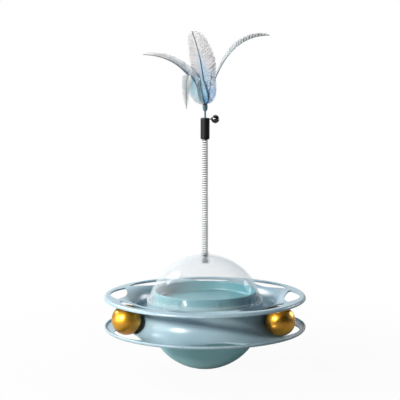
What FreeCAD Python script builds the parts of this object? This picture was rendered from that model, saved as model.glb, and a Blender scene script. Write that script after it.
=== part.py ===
import FreeCAD, Part
import math
import operator
import os

import Sketcher

V = FreeCAD.Vector

# Driving sizes in millimetres and degrees. Heights are counted from the plane where the two
# track rings meet, which is also the middle of the weighted sphere.
SIZES = [
    ("sphere_radius", 71.5, "outside of the dome and of the bottom shell"),
    ("foot_radius", 11.0, "small flat that the sphere stands on"),
    ("shell_wall", 2.2, "bottom shell"),
    ("ring_radius", 125.0, "outer rim of both track rings"),
    ("ring_wall", 2.0, "track rings, their flanges and the collar"),
    ("track_inset", 18.0, "circle of the ball centres inside the outer rim"),
    ("track_gap", 0.8, "room between a ball and the groove"),
    ("ball_radius", 18.5, "track ball"),
    ("ball_lift", 0.3, "ball above the groove floor"),
    ("left_ball_angle", 206.8, "left ball, seen from above"),
    ("right_ball_angle", -31.3, "right ball, seen from above"),
    ("lip_radius", 3.3, "outer curl of the ring's lip"),
    ("flange_width", 8.1, "clamped flanges inside the collar"),
    ("upper_window_count", 8, "windows in the upper ring"),
    ("lower_window_count", 5, "windows in the lower ring"),
    ("window_rim", 7.0, "ring outside a window"),
    ("window_width", 20.0, "window, at its middle"),
    ("window_bow", 14.0, "window's outer edge beyond its tips"),
    ("window_bridge", 10.3, "bar between two windows of the upper ring"),
    ("upper_window_turn", -4.5, "first window of the upper ring"),
    ("lower_window_turn", 9.0, "first window of the lower ring, counted the other way"),
    ("collar_height", 14.5, "top of the collar that carries the dome"),
    ("fit_gap", 0.3, "gap between pieces that lift apart"),
    ("close_gap", 0.05, "gap between pieces that fit tightly"),
    ("dome_wall", 1.7, "clear dome"),
    ("dome_flange", 2.4, "thickness of the dome's outer flange"),
    ("spigot_length", 7.3, "dome skirt inside the collar"),
    ("socket_radius", 6.2, "outside of the wand socket"),
    ("socket_rise", 2.8, "mouth of the wand socket above the dome"),
    ("socket_depth", 12.5, "depth of the wand socket"),
    ("socket_floor", 1.5, "floor of the wand socket"),
    ("tray_wall", 1.8, "treat tray"),
    ("tray_rim_height", 27.0, "top of the treat tray"),
    ("tray_floor_height", 15.0, "inside floor of the treat tray"),
    ("tray_corner", 3.0, "rounding between floor and wall"),
    ("tray_foot", 2.0, "thickness of the tray's foot flange"),
    ("tray_rib_count", 8, "upright ribs outside the tray"),
    ("tray_rib_width", 3.0, "one rib"),
    ("tray_rib_depth", 0.8, "how far a rib stands out"),
    ("tray_rib_top", 23.0, "top of the ribs"),
    ("tray_rib_turn", -30.0, "first rib"),
    ("screw_count", 4, "screws through the flanges"),
    ("screw_turn", 45.0, "first flange screw"),
    ("screw_shank", 1.4, "radius of all screw shanks"),
    ("screw_head", 2.7, "radius of all screw heads"),
    ("screw_head_height", 1.9, "all screw heads"),
    ("screw_bite", 10.0, "length of a screw in its boss"),
    ("boss_radius", 4.0, "flange screw boss"),
    ("boss_length", 14.0, "flange screw boss"),
    ("weight_height", 16.5, "counterweight, at its middle"),
    ("weight_gap", 3.0, "counterweight to the bosses of its disc"),
    ("retainer_gap", 0.7, "disc that holds the counterweight to the shell"),
    ("retainer_screw_inset", 5.0, "screws of the disc inside its edge"),
    ("retainer_thickness", 2.0, "disc that holds the counterweight"),
    ("retainer_screw_count", 3, "screws of the disc"),
    ("retainer_screw_turn", -90.0, "first screw of the disc"),
    ("retainer_boss", 3.5, "radius of the disc's bosses"),
    ("spring_radius", 4.0, "outside of the spring"),
    ("wire_radius", 0.55, "spring wire"),
    ("spring_turns", 57, "turns of the spring"),
    ("plug_base", 1.2, "thickness of the plug's disc"),
    ("plug_length", 9.0, "peg inside the spring"),
    ("sleeve_radius", 5.6, "black sleeve"),
    ("spring_show", 152.3, "spring between its plug and the sleeve"),
    ("sleeve_length", 26.2, "black sleeve"),
    ("sleeve_bore", 9.0, "depth of the bore that takes the spring"),
    ("sleeve_round", 1.2, "rounding of the sleeve's ends"),
    ("stem_radius", 1.25, "stem between sleeve and feathers"),
    ("stem_seat", 12.0, "length of the stem inside the sleeve"),
    ("stem_length", 22.5, "whole stem"),
    ("binding_radius", 3.1, "cup that gathers the quills"),
    ("binding_height", 7.0, "cup that gathers the quills"),
    ("binding_wall", 0.7, "wall of the cup"),
    ("quill_circle", 1.6, "circle of the quill ends"),
    ("quill_width", 1.0, "quill"),
    ("quill_thickness", 0.8, "quill"),
    ("vane_thickness", 1.0, "feather at its shaft"),
    ("plume_height", 89.25, "tallest feather above the cup"),
    ("bell_radius", 5.2, "outside of the bell"),
    ("bell_wall", 0.5, "bell shell"),
    ("bell_slot", 0.9, "width of the slots in the bell"),
    ("bell_slot_count", 4, "arms of the crossed slots in the bell"),
    ("bell_arm", 0.9, "hinge bar outside the sleeve"),
    ("bell_drop", 1.3, "hinge bar below the sleeve's top"),
    ("eye_wire", 0.4, "radius of the bell's wire eye"),
    ("eye_width", 3.4, "width of the bell's wire eye"),
    ("eye_bite", 1.0, "wire ends pressed into the sleeve"),
    ("lug_thickness", 1.4, "lug on the bell"),
    ("pea_radius", 1.4, "loose pea in the bell"),
]

doc = FreeCAD.newDocument("track_tumbler")
sheet = doc.addObject("Spreadsheet::Sheet", "Sizes")


def as_size(item):
    """A plain number as a size whose formula is the number itself."""
    return item if isinstance(item, Size) else Size(item, repr(item))


def combined(left, sign, right, rule):
    """The size that a formula with two members gives."""
    left, right = as_size(left), as_size(right)
    return Size(rule(left.value, right.value), f"({left.formula} {sign} {right.formula})")


class Size:
    """A number that also knows the sheet formula it comes from."""

    def __init__(self, value, formula):
        self.value = float(value)
        self.formula = formula

    def __add__(self, other):
        return combined(self, "+", other, operator.add)

    def __radd__(self, other):
        return combined(other, "+", self, operator.add)

    def __sub__(self, other):
        return combined(self, "-", other, operator.sub)

    def __rsub__(self, other):
        return combined(other, "-", self, operator.sub)

    def __mul__(self, other):
        return combined(self, "*", other, operator.mul)

    def __rmul__(self, other):
        return combined(other, "*", self, operator.mul)

    def __truediv__(self, other):
        return combined(self, "/", other, operator.truediv)

    def __rtruediv__(self, other):
        return combined(other, "/", self, operator.truediv)

    def __float__(self):
        return self.value


def leg(hypotenuse, other_leg):
    """The second short side of a right triangle, such as a sphere's radius at some height."""
    hypotenuse, other_leg = as_size(hypotenuse), as_size(other_leg)
    value = math.sqrt(hypotenuse.value ** 2 - other_leg.value ** 2)
    return Size(value, f"sqrt({hypotenuse.formula}^2 - {other_leg.formula}^2)")


def cosine(angle):
    return Size(math.cos(math.radians(angle.value)), f"cos({angle.formula})")


def sine(angle):
    return Size(math.sin(math.radians(angle.value)), f"sin({angle.formula})")


for row, (name, value, meaning) in enumerate(SIZES, start=1):
    sheet.set(f"A{row}", name)
    sheet.set(f"B{row}", str(value))
    sheet.set(f"C{row}", meaning)
    sheet.setAlias(f"B{row}", name)
doc.recompute()


class Sheet:
    """The driving sizes by name."""


for name, value, meaning in SIZES:
    setattr(Sheet, name, Size(sheet.get(name), f"Sizes.{name}"))

d = Sheet

# Sizes that several pieces share
centre_height = leg(d.sphere_radius, d.foot_radius)
groove_radius = d.ball_radius + d.track_gap
ring_top = groove_radius + d.ring_wall
track_radius = d.ring_radius - d.track_inset
lip_centre = d.ring_radius - d.lip_radius
lip_height = ring_top - d.lip_radius
dome_inner = d.sphere_radius - d.dome_wall
skirt_inner = dome_inner - d.dome_wall
collar_inner = dome_inner + d.fit_gap
collar_outer = collar_inner + d.ring_wall
dome_seat = d.collar_height + d.fit_gap
drum_outer = leg(dome_inner, d.tray_rim_height) - 2 * d.fit_gap
drum_inner = drum_outer - d.tray_wall
tray_foot_top = d.ring_wall + d.tray_foot
screw_circle = (drum_outer + collar_inner) / 2
clearance_hole = d.screw_shank + d.fit_gap
pilot_hole = d.screw_shank + d.close_gap
flange_bore = collar_inner - d.flange_width
shell_inner = d.sphere_radius - d.shell_wall
weight_under = shell_inner - d.fit_gap
weight_top = weight_under - d.weight_height
retainer_radius = leg(shell_inner, weight_top) - d.retainer_gap
disc_screw_circle = retainer_radius - d.retainer_screw_inset
weight_radius = disc_screw_circle - d.retainer_boss - d.weight_gap
socket_bore = d.spring_radius + d.fit_gap
socket_top = d.sphere_radius + d.socket_rise
socket_seat = socket_top - d.socket_depth
plug_top = socket_seat + d.plug_base
sleeve_bottom = plug_top + d.spring_show
sleeve_top = sleeve_bottom + d.sleeve_length
stem_bottom = sleeve_top - d.stem_seat
stem_top = stem_bottom + d.stem_length
cup_seat = stem_top - d.binding_height / 4
cup_floor = stem_top + d.binding_wall
cup_top = cup_seat + d.binding_height
hinge_reach = d.sleeve_radius + d.bell_arm
hinge_height = sleeve_top - d.bell_drop

LEFT = 1
RIGHT = -1
UPRIGHT = FreeCAD.Rotation()
TURNED_OVER = FreeCAD.Rotation(V(1, 0, 0), 180)

# Screw patterns as they are drawn on the pieces that are turned over
turned_screw_turn = 0 - d.screw_turn
turned_disc_turn = 0 - d.retainer_screw_turn


def drive(thing, target, size):
    """Binds one property of an object to the sheet."""
    thing.setExpression(target, as_size(size).formula)


def set_place(thing, rotation=UPRIGHT, x=None, y=None, z=centre_height):
    """Puts a finished object at its place, bound to the sheet."""
    thing.Placement = FreeCAD.Placement(V(0, 0, 0), rotation)
    for axis, size in (("x", x), ("y", y), ("z", z)):
        if size is not None:
            drive(thing, f"Placement.Base.{axis}", size)


def new_body(label):
    body = doc.addObject("PartDesign::Body", label)
    body.Label = label
    return body


def new_sketch(body, name, role="XZ_Plane", height=None, turn=None):
    """An empty sketch on one of the body's own planes, lifted or turned along its normal."""
    sketch = body.newObject("Sketcher::SketchObject", name)
    plane = [item for item in body.Origin.OriginFeatures if item.Role == role][0]
    sketch.AttachmentSupport = [(plane, "")]
    sketch.MapMode = "FlatFace"
    if height is not None:
        drive(sketch, "AttachmentOffset.Base.z", height)
    if turn is not None:
        drive(sketch, "AttachmentOffset.Rotation.Angle", turn)
    return sketch


def hold_point(sketch, geometry, end, x, y):
    """Fixes one end point of a sketch line or arc by two bound distances from the origin."""
    for kind, axis, size in (("DistanceX", -2, x), ("DistanceY", -1, y)):
        size = as_size(size)
        if size.formula == "0":
            sketch.addConstraint(Sketcher.Constraint("PointOnObject", geometry, end, axis))
            continue
        if size.value > 0:
            ends = (-1, 1, geometry, end)
        else:
            ends, size = (geometry, end, -1, 1), 0 - size
        index = sketch.addConstraint(Sketcher.Constraint(kind, *ends, size.value))
        drive(sketch, f"Constraints[{index}]", size)


def arc_between(start, end, radius, side):
    """The short arc from start to end whose centre lies to the left or right of the way."""
    chord = end - start
    square = V(-chord.y, chord.x, 0).normalize()
    reach = math.sqrt(max(radius ** 2 - chord.Length ** 2 / 4, 0))
    centre = (start + end) / 2 + square * (side * reach)
    first, last = (start, end) if side == LEFT else (end, start)
    first_angle = math.atan2(first.y - centre.y, first.x - centre.x)
    last_angle = math.atan2(last.y - centre.y, last.x - centre.x)
    if last_angle < first_angle:
        last_angle += 2 * math.pi
    return Part.ArcOfCircle(Part.Circle(centre, V(0, 0, 1), radius), first_angle, last_angle)


def draw_outline(sketch, corners):
    """A closed outline. A corner is (x, y), or (x, y, radius, side) where an arc leaves it."""
    points = [V(float(corner[0]), float(corner[1]), 0) for corner in corners]
    ends = []
    for index, corner in enumerate(corners):
        start, end = points[index], points[(index + 1) % len(points)]
        if len(corner) == 2:
            geometry = sketch.addGeometry(Part.LineSegment(start, end), False)
            ends.append((geometry, 1, 2))
            continue
        radius, side = as_size(corner[2]), corner[3]
        geometry = sketch.addGeometry(arc_between(start, end, radius.value, side), False)
        ends.append((geometry, 1, 2) if side == LEFT else (geometry, 2, 1))
    for index, (geometry, start_end, _) in enumerate(ends):
        before, _, before_end = ends[index - 1]
        sketch.addConstraint(Sketcher.Constraint("Coincident", before, before_end, geometry, start_end))
    for corner, (geometry, start_end, _) in zip(corners, ends):
        hold_point(sketch, geometry, start_end, corner[0], corner[1])
    for corner, (geometry, _, _) in zip(corners, ends):
        if len(corner) == 4:
            radius = as_size(corner[2])
            index = sketch.addConstraint(Sketcher.Constraint("Radius", geometry, radius.value))
            drive(sketch, f"Constraints[{index}]", radius)


def draw_circle(sketch, x, y, radius):
    """A circle whose centre and radius are bound to the sheet."""
    radius = as_size(radius)
    centre = V(float(x), float(y), 0)
    geometry = sketch.addGeometry(Part.Circle(centre, V(0, 0, 1), radius.value), False)
    hold_point(sketch, geometry, 3, x, y)
    index = sketch.addConstraint(Sketcher.Constraint("Radius", geometry, radius.value))
    drive(sketch, f"Constraints[{index}]", radius)


def turned(body, name, corners, cut=False):
    """A turned feature about the body's upright axis: material, or a groove."""
    sketch = new_sketch(body, name + "_outline")
    draw_outline(sketch, corners)
    kind = "PartDesign::Groove" if cut else "PartDesign::Revolution"
    feature = body.newObject(kind, name)
    feature.Profile = sketch
    feature.ReferenceAxis = (sketch, ["V_Axis"])
    feature.Angle = 360
    return feature


def padded(body, name, sketch, length):
    feature = body.newObject("PartDesign::Pad", name)
    feature.Profile = sketch
    drive(feature, "Length", length)
    return feature


def pocketed(body, name, sketch, length, upwards=True):
    feature = body.newObject("PartDesign::Pocket", name)
    feature.Profile = sketch
    drive(feature, "Length", length)
    feature.Reversed = upwards
    return feature


def round_the_axis(body, name, feature, sketch, count):
    """Repeats a feature evenly about the body's upright axis."""
    pattern = body.newObject("PartDesign::PolarPattern", name)
    pattern.Originals = [feature]
    pattern.Axis = (sketch, ["N_Axis"])
    pattern.Angle = 360
    drive(pattern, "Occurrences", count)
    body.Tip = pattern
    return pattern


def round_holes(body, name, circle, radius, count, turn, length, height=0):
    """Evenly spaced holes that start at one height and run along the body's upright axis."""
    sketch = new_sketch(body, name + "_circle", "XY_Plane", height=height, turn=turn)
    draw_circle(sketch, circle, 0, radius)
    hole = pocketed(body, name, sketch, length)
    return round_the_axis(body, name + "_pattern", hole, sketch, count)


def round_bosses(body, name, circle, radius, count, turn, length, height):
    """Evenly spaced round bosses, made the same way as the holes."""
    sketch = new_sketch(body, name + "_circle", "XY_Plane", height=height, turn=turn)
    draw_circle(sketch, circle, 0, radius)
    boss = padded(body, name, sketch, length)
    return round_the_axis(body, name + "_pattern", boss, sketch, count)


# Bottom shell: half a sphere, drawn by depth below the middle plane and turned over
def make_bottom_shell():
    body = new_body("bottom_shell")
    rim = d.ring_wall
    outer_rim = (leg(d.sphere_radius, rim), rim, d.sphere_radius, LEFT)
    foot_edge = (d.foot_radius, centre_height)
    turned(body, "shell", [
        outer_rim,
        foot_edge,
        (0, centre_height),
        (0, shell_inner, shell_inner, RIGHT),
        (leg(shell_inner, rim), rim),
    ])
    round_bosses(body, "flange_boss", screw_circle, d.boss_radius, d.screw_count,
                 turned_screw_turn, d.boss_length, rim)
    round_bosses(body, "disc_boss", disc_screw_circle, d.retainer_boss,
                 d.retainer_screw_count, turned_disc_turn, 4 * d.shell_wall, weight_top)
    beyond = d.sphere_radius + d.boss_length
    turned(body, "trim_outside", [
        outer_rim,
        foot_edge,
        (d.foot_radius, beyond),
        (beyond, beyond),
        (beyond, rim),
    ], cut=True)
    round_holes(body, "flange_pilot", screw_circle, pilot_hole, d.screw_count,
                turned_screw_turn, d.screw_bite + d.screw_shank, rim)
    round_holes(body, "disc_pilot", disc_screw_circle, pilot_hole,
                d.retainer_screw_count, turned_disc_turn, 1.5 * d.shell_wall, weight_top)
    set_place(body, TURNED_OVER)
    return body


# Counterweight: an iron puck whose underside follows the shell
def make_counterweight():
    body = new_body("counterweight")
    turned(body, "puck", [
        (0, weight_top),
        (weight_radius, weight_top),
        (weight_radius, leg(weight_under, weight_radius), weight_under, LEFT),
        (0, weight_under),
    ])
    set_place(body, TURNED_OVER)
    return body


# Disc that is screwed over the counterweight, with a raised rim that stiffens it
def make_weight_retainer():
    body = new_body("weight_retainer")
    top = weight_top - d.retainer_thickness
    rim_inner = retainer_radius - d.retainer_thickness
    turned(body, "disc", [
        (0, weight_top),
        (retainer_radius, weight_top),
        (retainer_radius, top - d.retainer_thickness),
        (rim_inner, top - d.retainer_thickness),
        (rim_inner, top),
        (0, top),
    ])
    round_holes(body, "screw_hole", disc_screw_circle, clearance_hole,
                d.retainer_screw_count, turned_disc_turn, 2 * d.retainer_thickness, top)
    set_place(body, TURNED_OVER)
    return body


def make_screws(label, circle, count, first_turn, head_seat, length, upwards):
    """Pan-head screws on a circle: heads rest at head_seat and shanks run the other way."""
    screws = []
    for index in range(int(count.value)):
        turn = first_turn + 360 / count * index
        x, y = circle * cosine(turn), circle * sine(turn)
        shank = doc.addObject("Part::Cylinder", f"{label}_shank")
        head = doc.addObject("Part::Cone", f"{label}_head")
        drive(shank, "Radius", d.screw_shank)
        drive(shank, "Height", length)
        drive(head, "Radius1", d.screw_head)
        drive(head, "Radius2", 0.75 * d.screw_head)
        drive(head, "Height", d.screw_head_height)
        set_place(shank, TURNED_OVER if upwards else UPRIGHT, x, y, head_seat)
        set_place(head, UPRIGHT if upwards else TURNED_OVER, x, y, head_seat)
        screw = doc.addObject("Part::Fuse", f"{label}_screw")
        screw.Base = shank
        screw.Tool = head
        screws.append(screw)
    group = doc.addObject("Part::Compound", label)
    group.Label = label
    group.Links = screws
    return group


def ring_corners(collar):
    """Half of the ball track in section, from the clamped flange out to the curled lip."""
    wall = d.ring_wall
    edge = wall / 2
    lip_inner = d.lip_radius - wall
    corners = [
        (flange_bore, 0),
        (track_radius - groove_radius, 0, groove_radius, RIGHT),
        (track_radius, groove_radius),
        (lip_centre, groove_radius, lip_inner, RIGHT),
        (lip_centre + lip_inner, lip_height, edge, LEFT),
        (d.ring_radius - edge, lip_height - edge, edge, LEFT),
        (d.ring_radius, lip_height, d.lip_radius, LEFT),
        (lip_centre, ring_top),
        (track_radius, ring_top, ring_top, LEFT),
        (track_radius - leg(ring_top, wall), wall),
    ]
    if collar:
        corners += [
            (collar_outer, wall),
            (collar_outer, d.collar_height),
            (collar_inner, d.collar_height),
            (collar_inner, wall),
        ]
    return corners + [(flange_bore, wall)]


def arc_radius(half_chord, rise):
    """Radius of the arc that rises so far over so wide a chord."""
    half_chord, rise = as_size(half_chord), as_size(rise)
    value = (half_chord.value ** 2 + rise.value ** 2) / (2 * rise.value)
    squares = f"{half_chord.formula}^2 + {rise.formula}^2"
    return Size(value, f"(({squares}) / (2 * {rise.formula}))")


# Track rings: two mouldings that meet at the waist of the groove, each with lens windows
def make_track_ring(label, window_count, window_turn, collar, rotation):
    body = new_body(label)
    turned(body, "ring", ring_corners(collar))
    lens = new_sketch(body, "window_outline", "XY_Plane", turn=window_turn)
    tip = d.ring_radius - d.window_rim - d.window_bow
    share = 180 / d.upper_window_count
    half = (tip * sine(share) - d.window_bridge / 2) / cosine(share)
    draw_outline(lens, [
        (tip, 0 - half, arc_radius(half, d.window_bow), LEFT),
        (tip, half, arc_radius(half, d.window_width - d.window_bow), LEFT),
    ])
    window = pocketed(body, "window", lens, 2 * ring_top)
    round_the_axis(body, "windows", window, lens, window_count)
    screw_turn = turned_screw_turn if rotation is TURNED_OVER else d.screw_turn
    round_holes(body, "screw_hole", screw_circle, clearance_hole, d.screw_count, screw_turn,
                2 * d.ring_wall)
    set_place(body, rotation)
    return body


# Treat tray: a shallow drum with a foot flange that the flange screws hold down
def make_treat_tray():
    body = new_body("treat_tray")
    under_floor = d.tray_floor_height - d.tray_wall
    bead = d.tray_wall / 2
    turned(body, "drum", [
        (0, under_floor),
        (drum_inner, under_floor),
        (drum_inner, d.ring_wall),
        (collar_inner - d.fit_gap, d.ring_wall),
        (collar_inner - d.fit_gap, tray_foot_top),
        (drum_outer, tray_foot_top),
        (drum_outer, d.tray_rim_height - bead, bead, LEFT),
        (drum_outer - bead, d.tray_rim_height, bead, LEFT),
        (drum_inner, d.tray_rim_height - bead),
        (drum_inner, d.tray_floor_height + d.tray_corner, d.tray_corner, RIGHT),
        (drum_inner - d.tray_corner, d.tray_floor_height),
        (0, d.tray_floor_height),
    ])
    rib_outline = new_sketch(body, "rib_outline", "XY_Plane", height=d.ring_wall, turn=d.tray_rib_turn)
    half = d.tray_rib_width / 2
    draw_outline(rib_outline, [
        (drum_outer - d.tray_wall / 2, 0 - half),
        (drum_outer + d.tray_rib_depth, 0 - half),
        (drum_outer + d.tray_rib_depth, half),
        (drum_outer - d.tray_wall / 2, half),
    ])
    rib = padded(body, "rib", rib_outline, d.tray_rib_top - d.ring_wall)
    round_the_axis(body, "ribs", rib, rib_outline, d.tray_rib_count)
    round_holes(body, "screw_hole", screw_circle, clearance_hole, d.screw_count, d.screw_turn,
                2 * d.tray_foot, d.ring_wall)
    set_place(body)
    return body


# Clear dome: seats on the collar by its flange, with a skirt inside and the wand socket on top
def make_clear_dome():
    body = new_body("clear_dome")
    skirt_end = dome_seat - d.spigot_length
    flange_top = dome_seat + d.dome_flange
    turned(body, "dome", [
        (0, socket_seat - d.socket_floor),
        (d.socket_radius, socket_seat - d.socket_floor),
        (d.socket_radius, leg(dome_inner, d.socket_radius), dome_inner, RIGHT),
        (skirt_inner, leg(dome_inner, skirt_inner)),
        (skirt_inner, skirt_end),
        (dome_inner, skirt_end),
        (dome_inner, dome_seat),
        (collar_outer, dome_seat),
        (collar_outer, flange_top),
        (leg(d.sphere_radius, flange_top), flange_top, d.sphere_radius, LEFT),
        (d.socket_radius, leg(d.sphere_radius, d.socket_radius)),
        (d.socket_radius, socket_top),
        (socket_bore, socket_top),
        (socket_bore, socket_seat),
        (0, socket_seat),
    ])
    set_place(body)
    return body


def make_ball(label, angle):
    """A track ball, resting just above the floor of the groove."""
    ball = doc.addObject("Part::Sphere", label)
    ball.Label = label
    drive(ball, "Radius", d.ball_radius)
    floor = centre_height - groove_radius + d.ball_lift
    set_place(ball, UPRIGHT, track_radius * cosine(angle), track_radius * sine(angle),
              floor + d.ball_radius)
    return ball


# Wand plug: a disc in the socket with a peg that fills the end of the spring
def make_wand_plug():
    body = new_body("wand_plug")
    peg = d.spring_radius - 2 * d.wire_radius - d.fit_gap
    tip = plug_top + d.plug_length
    turned(body, "plug", [
        (0, socket_seat),
        (d.spring_radius, socket_seat),
        (d.spring_radius, plug_top),
        (peg, plug_top),
        (peg, tip - peg / 2),
        (peg / 2, tip),
        (0, tip),
    ])
    set_place(body)
    return body


def arc_to(start, corner, end):
    """The arc from start to end that is tangent to both lines through the corner."""
    middle = (start + end) / 2
    half_turn = math.atan2((corner - middle).Length, (end - start).Length / 2)
    rise = (end - start).Length / 2 * math.tan(half_turn / 2)
    crown = middle + (corner - middle).normalize() * rise
    return Part.Arc(start, crown, end).toShape()


def helix_edges(radius, pitch, turns, bottom):
    """A helix as pairs of tangent arcs, one pair for each half turn."""
    climb = pitch / (2 * math.pi)

    def point(angle):
        return V(radius * math.cos(angle), radius * math.sin(angle), bottom + climb * angle)

    def heading(angle):
        return V(-radius * math.sin(angle), radius * math.cos(angle), climb).normalize()

    edges = []
    for half in range(2 * turns):
        first, last = half * math.pi, (half + 1) * math.pi
        start, end = point(first), point(last)
        way_in, way_out = heading(first), heading(last)
        span = end - start
        square = 2 * (1 - way_in.dot(way_out))
        slope = span.dot(way_in + way_out)
        arm = (math.sqrt(slope ** 2 + square * span.dot(span)) - slope) / square
        leaving, arriving = start + way_in * arm, end - way_out * arm
        joint = (leaving + arriving) / 2
        edges += [arc_to(start, leaving, joint), arc_to(joint, arriving, end)]
    return edges


def least_gap(edges, wire_radius):
    """The smallest gap between neighbouring turns, measured on points along the wire."""
    points = []
    for edge in edges:
        points += edge.discretize(7)[:-1]
    per_turn = 4 * 6
    gap = math.inf
    for index, spot in enumerate(points):
        for other in points[index + per_turn // 2:index + 2 * per_turn]:
            gap = min(gap, (spot - other).Length)
    return gap - 2 * wire_radius


# Wand spring: one unbroken wire from the plug's disc up into the sleeve
def make_wand_spring():
    wire, gap = d.wire_radius.value, d.close_gap.value
    radius = d.spring_radius.value - wire
    bottom = plug_top.value + wire + gap
    top = sleeve_bottom.value + d.sleeve_bore.value - wire - gap
    turns = int(d.spring_turns.value)
    edges = helix_edges(radius, (top - bottom) / turns, turns, bottom)
    path = Part.Wire(edges)
    start = edges[0].Vertexes[0].Point
    way = edges[0].tangentAt(edges[0].FirstParameter)
    inward = (V(0, 0, bottom) - start).normalize()
    corners = [start + FreeCAD.Rotation(way, 60 * side).multVec(inward) * wire for side in range(7)]
    shape = path.makePipeShell([Part.makePolygon(corners)], True, False)
    if shape.Volume < 0:
        shape.reverse()
    spring = doc.addObject("Part::Feature", "wand_spring")
    spring.Label = "wand_spring"
    spring.Shape = shape
    set_place(spring)
    print("spring pitch", round((top - bottom) / turns, 3), "least gap to itself",
          round(least_gap(edges, wire), 3))
    return spring


# Sleeve: a black tube end that grips the spring below and the stem above
def make_wand_sleeve():
    body = new_body("wand_sleeve")
    bore_top = sleeve_bottom + d.sleeve_bore
    stem_bore = d.stem_radius + d.close_gap
    turned(body, "sleeve", [
        (d.spring_radius + d.close_gap, sleeve_bottom),
        (d.sleeve_radius - d.sleeve_round, sleeve_bottom, d.sleeve_round, LEFT),
        (d.sleeve_radius, sleeve_bottom + d.sleeve_round),
        (d.sleeve_radius, sleeve_top - d.sleeve_round, d.sleeve_round, LEFT),
        (d.sleeve_radius - d.sleeve_round, sleeve_top),
        (stem_bore, sleeve_top),
        (stem_bore, stem_bottom),
        (0, stem_bottom),
        (0, bore_top),
        (d.spring_radius + d.close_gap, bore_top),
    ])
    set_place(body)
    return body


def make_feather_stem():
    """The bound stem that stands in the sleeve and carries the cup."""
    body = new_body("feather_stem")
    turned(body, "stem", [
        (0, stem_bottom),
        (d.stem_radius, stem_bottom),
        (d.stem_radius, stem_top),
        (0, stem_top),
    ])
    set_place(body)
    return body


def make_quill_binding():
    """The cup that gathers the quills, pushed over the end of the stem."""
    body = new_body("quill_binding")
    stem_bore = d.stem_radius + d.close_gap
    turned(body, "cup", [
        (stem_bore, cup_seat),
        (stem_bore + d.binding_wall, cup_seat),
        (d.binding_radius, cup_floor),
        (d.binding_radius, cup_top),
        (d.binding_radius - d.binding_wall, cup_top),
        (d.binding_radius - d.binding_wall, cup_floor),
        (0, cup_floor),
        (0, stem_top),
        (stem_bore, stem_top),
    ])
    set_place(body)
    return body


# Feathers: three points over the mouth of the cup that bend the shaft, the bare share of the
# shaft, the widest vane, the way the vane faces at root and tip, and how far the vane lies to
# one side of its shaft. A vane at 0 degrees faces the front, and at 90 degrees stands edge on.
# The lengths belong to a plume whose tallest feather ends DRAWN_HEIGHT over the cup.
DRAWN_HEIGHT = 89.25
FEATHERS = {
    "feather_right_arch": (V(10, 8, 26.75), V(24, 12, 84.75), V(79, 12, 84.75), 0.3, 18.0, (70, 88), 0.0),
    "feather_upright": (V(5, 14, 28.75), V(0, 20, 62.75), V(-16, 20, 89.25), 0.3, 31.0, (0, 0), 0.08),
    "feather_left_arch": (V(-10, 7, 26.75), V(-29, 10, 59.75), V(-76, 10, 61.15), 0.34, 20.0, (45, 84), 0.0),
    "feather_left_back": (V(-5, -1, 12.75), V(-12, -4, 23.75), V(-13, -5, 34.75), 0.16, 13.0, (0, 0), 0.0),
    "feather_left_curl": (V(-12, -12, 32.75), V(-26, -32, 68.75), V(-22.5, -26, -2.25), 0.5, 12.5, (0, 0), 0.0),
    "feather_left_front": (V(-2, -12, 8.75), V(-6, -15, 22.75), V(-6, -17, 34.75), 0.12, 12.0, (0, 0), 0.0),
    "feather_right_front": (V(5, -5, 8.75), V(6, -9, 26.75), V(8, -11, 39.75), 0.12, 17.0, (0, 0), 0.0),
}
VANE_STOPS = (0.04, 0.08, 0.13, 0.19, 0.26, 0.34, 0.43, 0.53, 0.63, 0.73, 0.82, 0.9, 0.96, 1.0)


def bezier(knots, place):
    """A point of the cubic through the first and last knot, and the way it heads there."""
    rest = 1 - place
    spot = knots[0] * rest ** 3 + knots[1] * (3 * rest ** 2 * place)
    spot += knots[2] * (3 * rest * place ** 2) + knots[3] * place ** 3
    way = (knots[1] - knots[0]) * rest ** 2 + (knots[2] - knots[1]) * (2 * rest * place)
    way += (knots[3] - knots[2]) * place ** 2
    return spot, way.normalize()


def lens_section(spot, way, face, half, thick):
    """A lens across the shaft, thickest in the middle, as two arcs."""
    across = V(math.cos(face), math.sin(face), 0)
    across = (across - way * across.dot(way)).normalize()
    outward = way.cross(across) * (thick / 2)
    left, right = spot - across * half, spot + across * half
    arcs = [Part.Arc(left, spot + outward, right), Part.Arc(right, spot - outward, left)]
    return Part.Wire([arc.toShape() for arc in arcs])


def make_feather(label, first, second, tip, bare, widest, facing, shift):
    """A thin curved blade: a straight quill in the cup, then a vane along a cubic shaft."""
    seat = 2 * math.pi * list(FEATHERS).index(label) / len(FEATHERS)
    ring, quill = d.quill_circle.value, d.quill_width.value / 2
    foot = V(ring * math.cos(seat), ring * math.sin(seat), cup_floor.value + d.close_gap.value)
    mouth = V(foot.x, foot.y, cup_top.value)
    root_face, tip_face = (math.radians(angle) for angle in facing)
    growth = d.plume_height.value / DRAWN_HEIGHT
    above_cup = V(0, 0, cup_top.value)
    knots = [mouth] + [above_cup + point * growth for point in (first, second, tip)]
    widest *= growth
    sections = [lens_section(spot, V(0, 0, 1), root_face, quill, d.quill_thickness.value)
                for spot in (foot, mouth)]
    for along in VANE_STOPS:
        place = bare * along / 0.34 if along < 0.34 else bare + (1 - bare) * (along - 0.34) / 0.66
        share = (place - bare) / (1 - bare)
        spread = math.sin(math.pi * share ** 0.75) ** 0.6 if 0 < share < 1 else 0
        half = max(widest * spread / 2, quill)
        spot, way = bezier(knots, place)
        face = root_face + (tip_face - root_face) * min(1, 1.6 * place)
        spot += V(math.cos(face), math.sin(face), 0) * (widest * spread * shift)
        thick = d.vane_thickness.value if half > quill else d.quill_thickness.value
        sections.append(lens_section(spot, way, face, half, thick))
    feather = doc.addObject("Part::Feature", label)
    feather.Label = label
    feather.Shape = Part.makeLoft(sections, True, True)
    set_place(feather)
    return feather


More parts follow.
